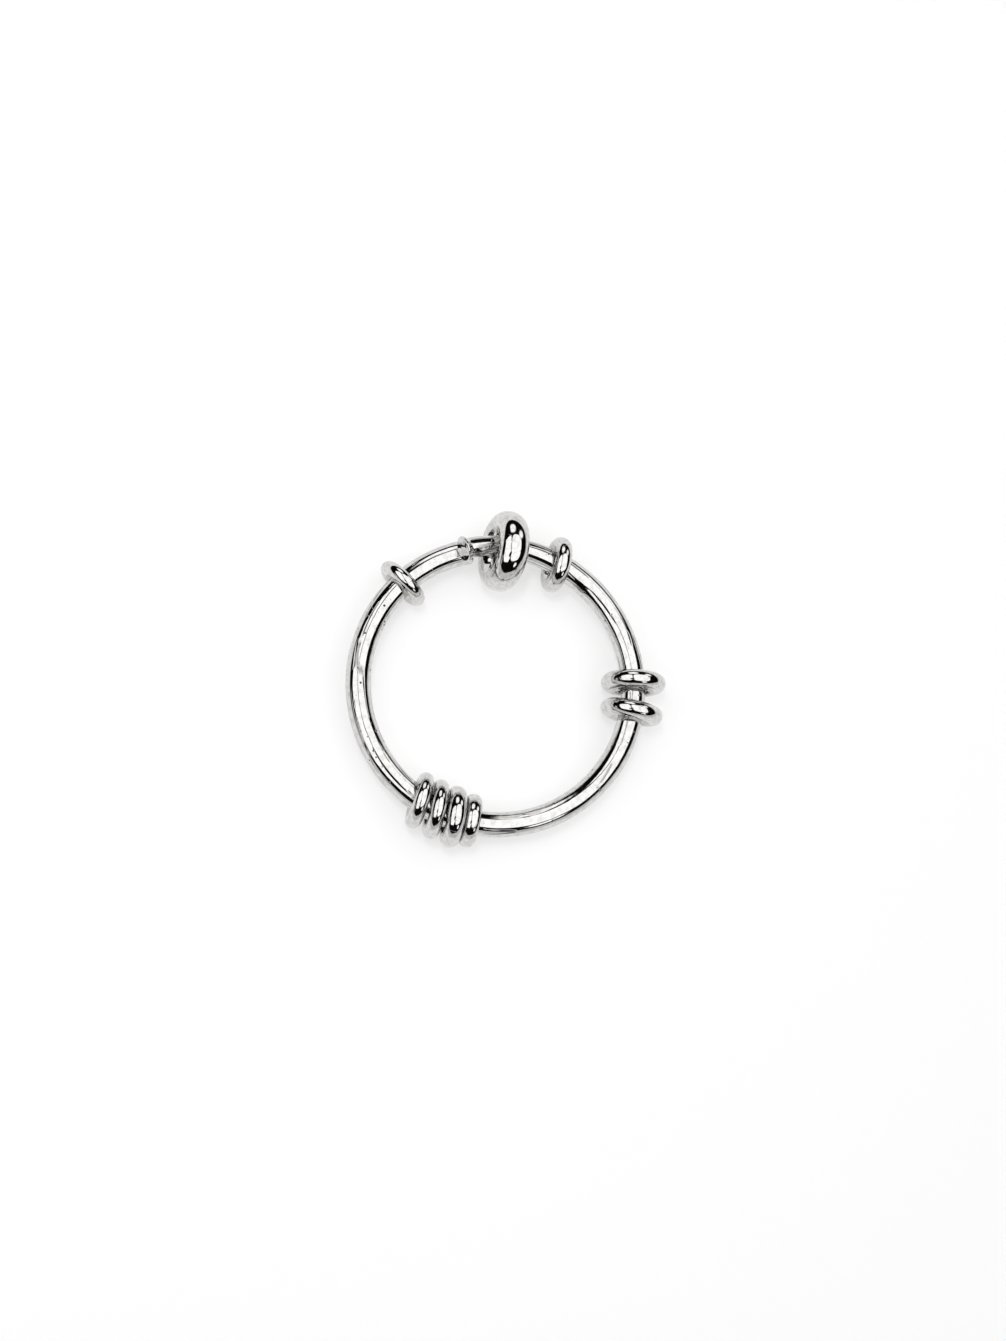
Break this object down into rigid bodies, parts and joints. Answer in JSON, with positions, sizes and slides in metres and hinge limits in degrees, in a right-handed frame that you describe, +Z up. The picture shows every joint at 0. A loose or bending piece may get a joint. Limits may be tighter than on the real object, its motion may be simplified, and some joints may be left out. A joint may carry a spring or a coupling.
{
  "type": "ring disentanglement puzzle",
  "caption": "Pocket disentanglement puzzle: a springy round bar bent into a lapped hoop, with closed metal rings threaded on it that slide round.",
  "frame": {"origin": "centre of the hoop, on the surface that the rings stand on", "axes": "+Z up out of the hoop, +Y towards the lapped ends and the guard ring, +X towards the pair of rings"},
  "size_m": [0.064, 0.0666, 0.016],
  "materials": {
    "bar_chrome": "bright plated, drawn bar with faint die lines and small pits",
    "ring_chrome": "bright plated, tumbled smooth"
  },
  "bodies": {
    "hoop": {"hoop_bar": "bar_chrome"},
    "guard_ring": {"guard_ring": "ring_chrome"},
    "loose_ring": {"loose_ring": "ring_chrome"},
    "thin_ring": {"thin_ring": "ring_chrome"},
    "stack_ring_1": {"stack_ring_1": "ring_chrome"},
    "stack_ring_2": {"stack_ring_2": "ring_chrome"},
    "stack_ring_3": {"stack_ring_3": "ring_chrome"},
    "stack_ring_4": {"stack_ring_4": "ring_chrome"},
    "pair_ring_1": {"pair_ring_1": "ring_chrome"},
    "pair_ring_2": {"pair_ring_2": "ring_chrome"}
  },
  "joints": [
    {"name": "guard_ring_spin", "type": "hinge", "parent": "hoop", "child": "guard_ring", "pos_m": [0.00132, 0.02669, 0.008], "axis": [-0.9668, 0.1359, 0.2164], "continuous": true},
    {"name": "loose_ring_slide", "type": "hinge", "parent": "hoop", "child": "loose_ring", "pos_m": [0, 0, 0.00594], "axis": [0, 0, 1], "range_deg": [-20, 0]},
    {"name": "thin_ring_slide", "type": "hinge", "parent": "hoop", "child": "thin_ring", "pos_m": [0, 0, 0.00594], "axis": [0, 0, 1], "range_deg": [-18, 45]},
    {"name": "pair_ring_1_slide", "type": "hinge", "parent": "hoop", "child": "pair_ring_1", "pos_m": [0, 0, 0.00594], "axis": [0, 0, 1], "range_deg": [0, 24]},
    {"name": "pair_ring_2_slide", "type": "hinge", "parent": "hoop", "child": "pair_ring_2", "pos_m": [0, 0, 0.00594], "axis": [0, 0, 1], "range_deg": [-24, 0]},
    {"name": "stack_ring_3_slide", "type": "hinge", "parent": "hoop", "child": "stack_ring_3", "pos_m": [0, 0, 0.00594], "axis": [0, 0, 1], "range_deg": [0, 20]},
    {"name": "stack_ring_4_slide", "type": "hinge", "parent": "stack_ring_3", "child": "stack_ring_4", "pos_m": [0, 0, 0.00594], "axis": [0, 0, 1], "range_deg": [0, 20]},
    {"name": "stack_ring_2_slide", "type": "hinge", "parent": "hoop", "child": "stack_ring_2", "pos_m": [0, 0, 0.00594], "axis": [0, 0, 1], "range_deg": [-20, 0]},
    {"name": "stack_ring_1_slide", "type": "hinge", "parent": "stack_ring_2", "child": "stack_ring_1", "pos_m": [0, 0, 0.00594], "axis": [0, 0, 1], "range_deg": [-20, 0]}
  ]
}
